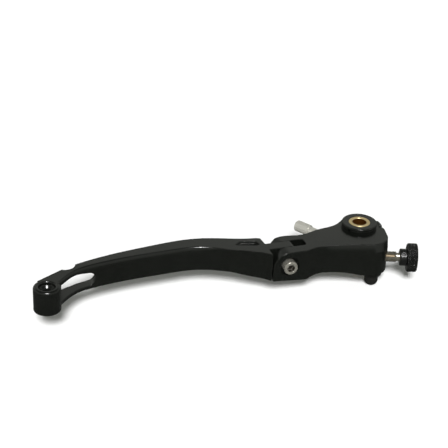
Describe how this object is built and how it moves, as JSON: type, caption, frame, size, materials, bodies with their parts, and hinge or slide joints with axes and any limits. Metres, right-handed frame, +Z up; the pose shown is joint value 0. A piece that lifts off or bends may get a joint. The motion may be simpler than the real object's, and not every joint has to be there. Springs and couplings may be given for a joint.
{
  "type": "motorcycle clutch lever",
  "caption": "Folding motorcycle clutch lever with a hinged blade, a bushed pivot, a pushrod and a screw-type reach adjuster with a knurled knob.",
  "frame": {"origin": "on the pivot axis, at half the height of the pivot bush", "axes": "+Z up the pivot axis; the blade points towards -X; +Y is the handlebar side, the rider's fingers pull from -Y"},
  "size_m": [0.2176, 0.0573, 0.0321],
  "materials": {
    "black_anodised": "satin black anodised, fine bead-blast grain",
    "black_steel": "blackened steel, slightly glossy",
    "stainless": "turned stainless steel, bright",
    "spring_steel": "drawn spring wire",
    "bronze": "machined bearing bronze, darker in the bore",
    "knob_black": "black anodised, knurled",
    "knob_face": "black anodised, turned face"
  },
  "bodies": {
    "base": {"lever_base": "black_anodised", "fold_screw": "stainless", "fold_bush": "bronze", "fold_spring": "spring_steel", "pivot_sleeve": "black_anodised", "pivot_bush": "bronze", "pivot_ring": "black_anodised", "pivot_washer": "black_steel", "pivot_circlip": "black_steel", "preload_spring": "spring_steel"},
    "blade": {"lever_blade": "black_anodised"},
    "pusher": {"pusher": "black_anodised"},
    "pushrod": {"pushrod_barrel": "stainless", "pushrod_stud": "stainless", "pushrod_tip": "stainless"},
    "barrel": {"adjuster_barrel": "black_anodised", "detent_plug": "black_steel", "detent_ball": "stainless", "detent_spring": "spring_steel"},
    "tip": {"adjuster_tip": "stainless"},
    "knob": {"adjuster_screw": "stainless", "knob_hub": "knob_black", "knob_wheel": "knob_black", "knob_cap": "knob_face", "knob_grub": "black_steel"}
  },
  "joints": [
    {"name": "fold", "type": "hinge", "parent": "base", "child": "blade", "pos_m": [-0.0484, -0.00925, 0.0004], "axis": [0, 1, 0], "range_deg": [0, 85], "stiffness_Nm_per_rad": 0.15, "springref_deg": -57.3, "deforming": ["fold_spring"]},
    {"name": "reach", "type": "hinge", "parent": "base", "child": "pusher", "pos_m": [0, 0, 0], "axis": [0, 0, 1], "range_deg": [-4.2, 4.2], "deforming": ["preload_spring"]},
    {"name": "pushrod_swing", "type": "hinge", "parent": "pusher", "child": "pushrod", "pos_m": [-0.0135, 0.0026, 0], "axis": [0, 0, 1], "range_deg": [-8, 8]},
    {"name": "barrel_swivel", "type": "hinge", "parent": "base", "child": "barrel", "pos_m": [0.003, -0.0154, 0], "axis": [0, 0, 1], "range_deg": [-1.9, 1.9]},
    {"name": "adjuster_travel", "type": "slide", "parent": "barrel", "child": "tip", "axis": [0.9397, -0.342, 0], "range_m": [-0.00096, 0.00096]},
    {"name": "adjuster_turn", "type": "hinge", "parent": "tip", "child": "knob", "pos_m": [0.003, -0.0154, -0.0021], "axis": [0.9397, -0.342, 0], "range_deg": [-434, 434]}
  ],
  "couplings": [
    {"joint": "adjuster_turn", "follows": "adjuster_travel", "rad_per_m": 7854},
    {"joint": "reach", "follows": "adjuster_travel", "rad_per_m": 74.35},
    {"joint": "barrel_swivel", "follows": "adjuster_travel", "rad_per_m": 33.354}
  ]
}
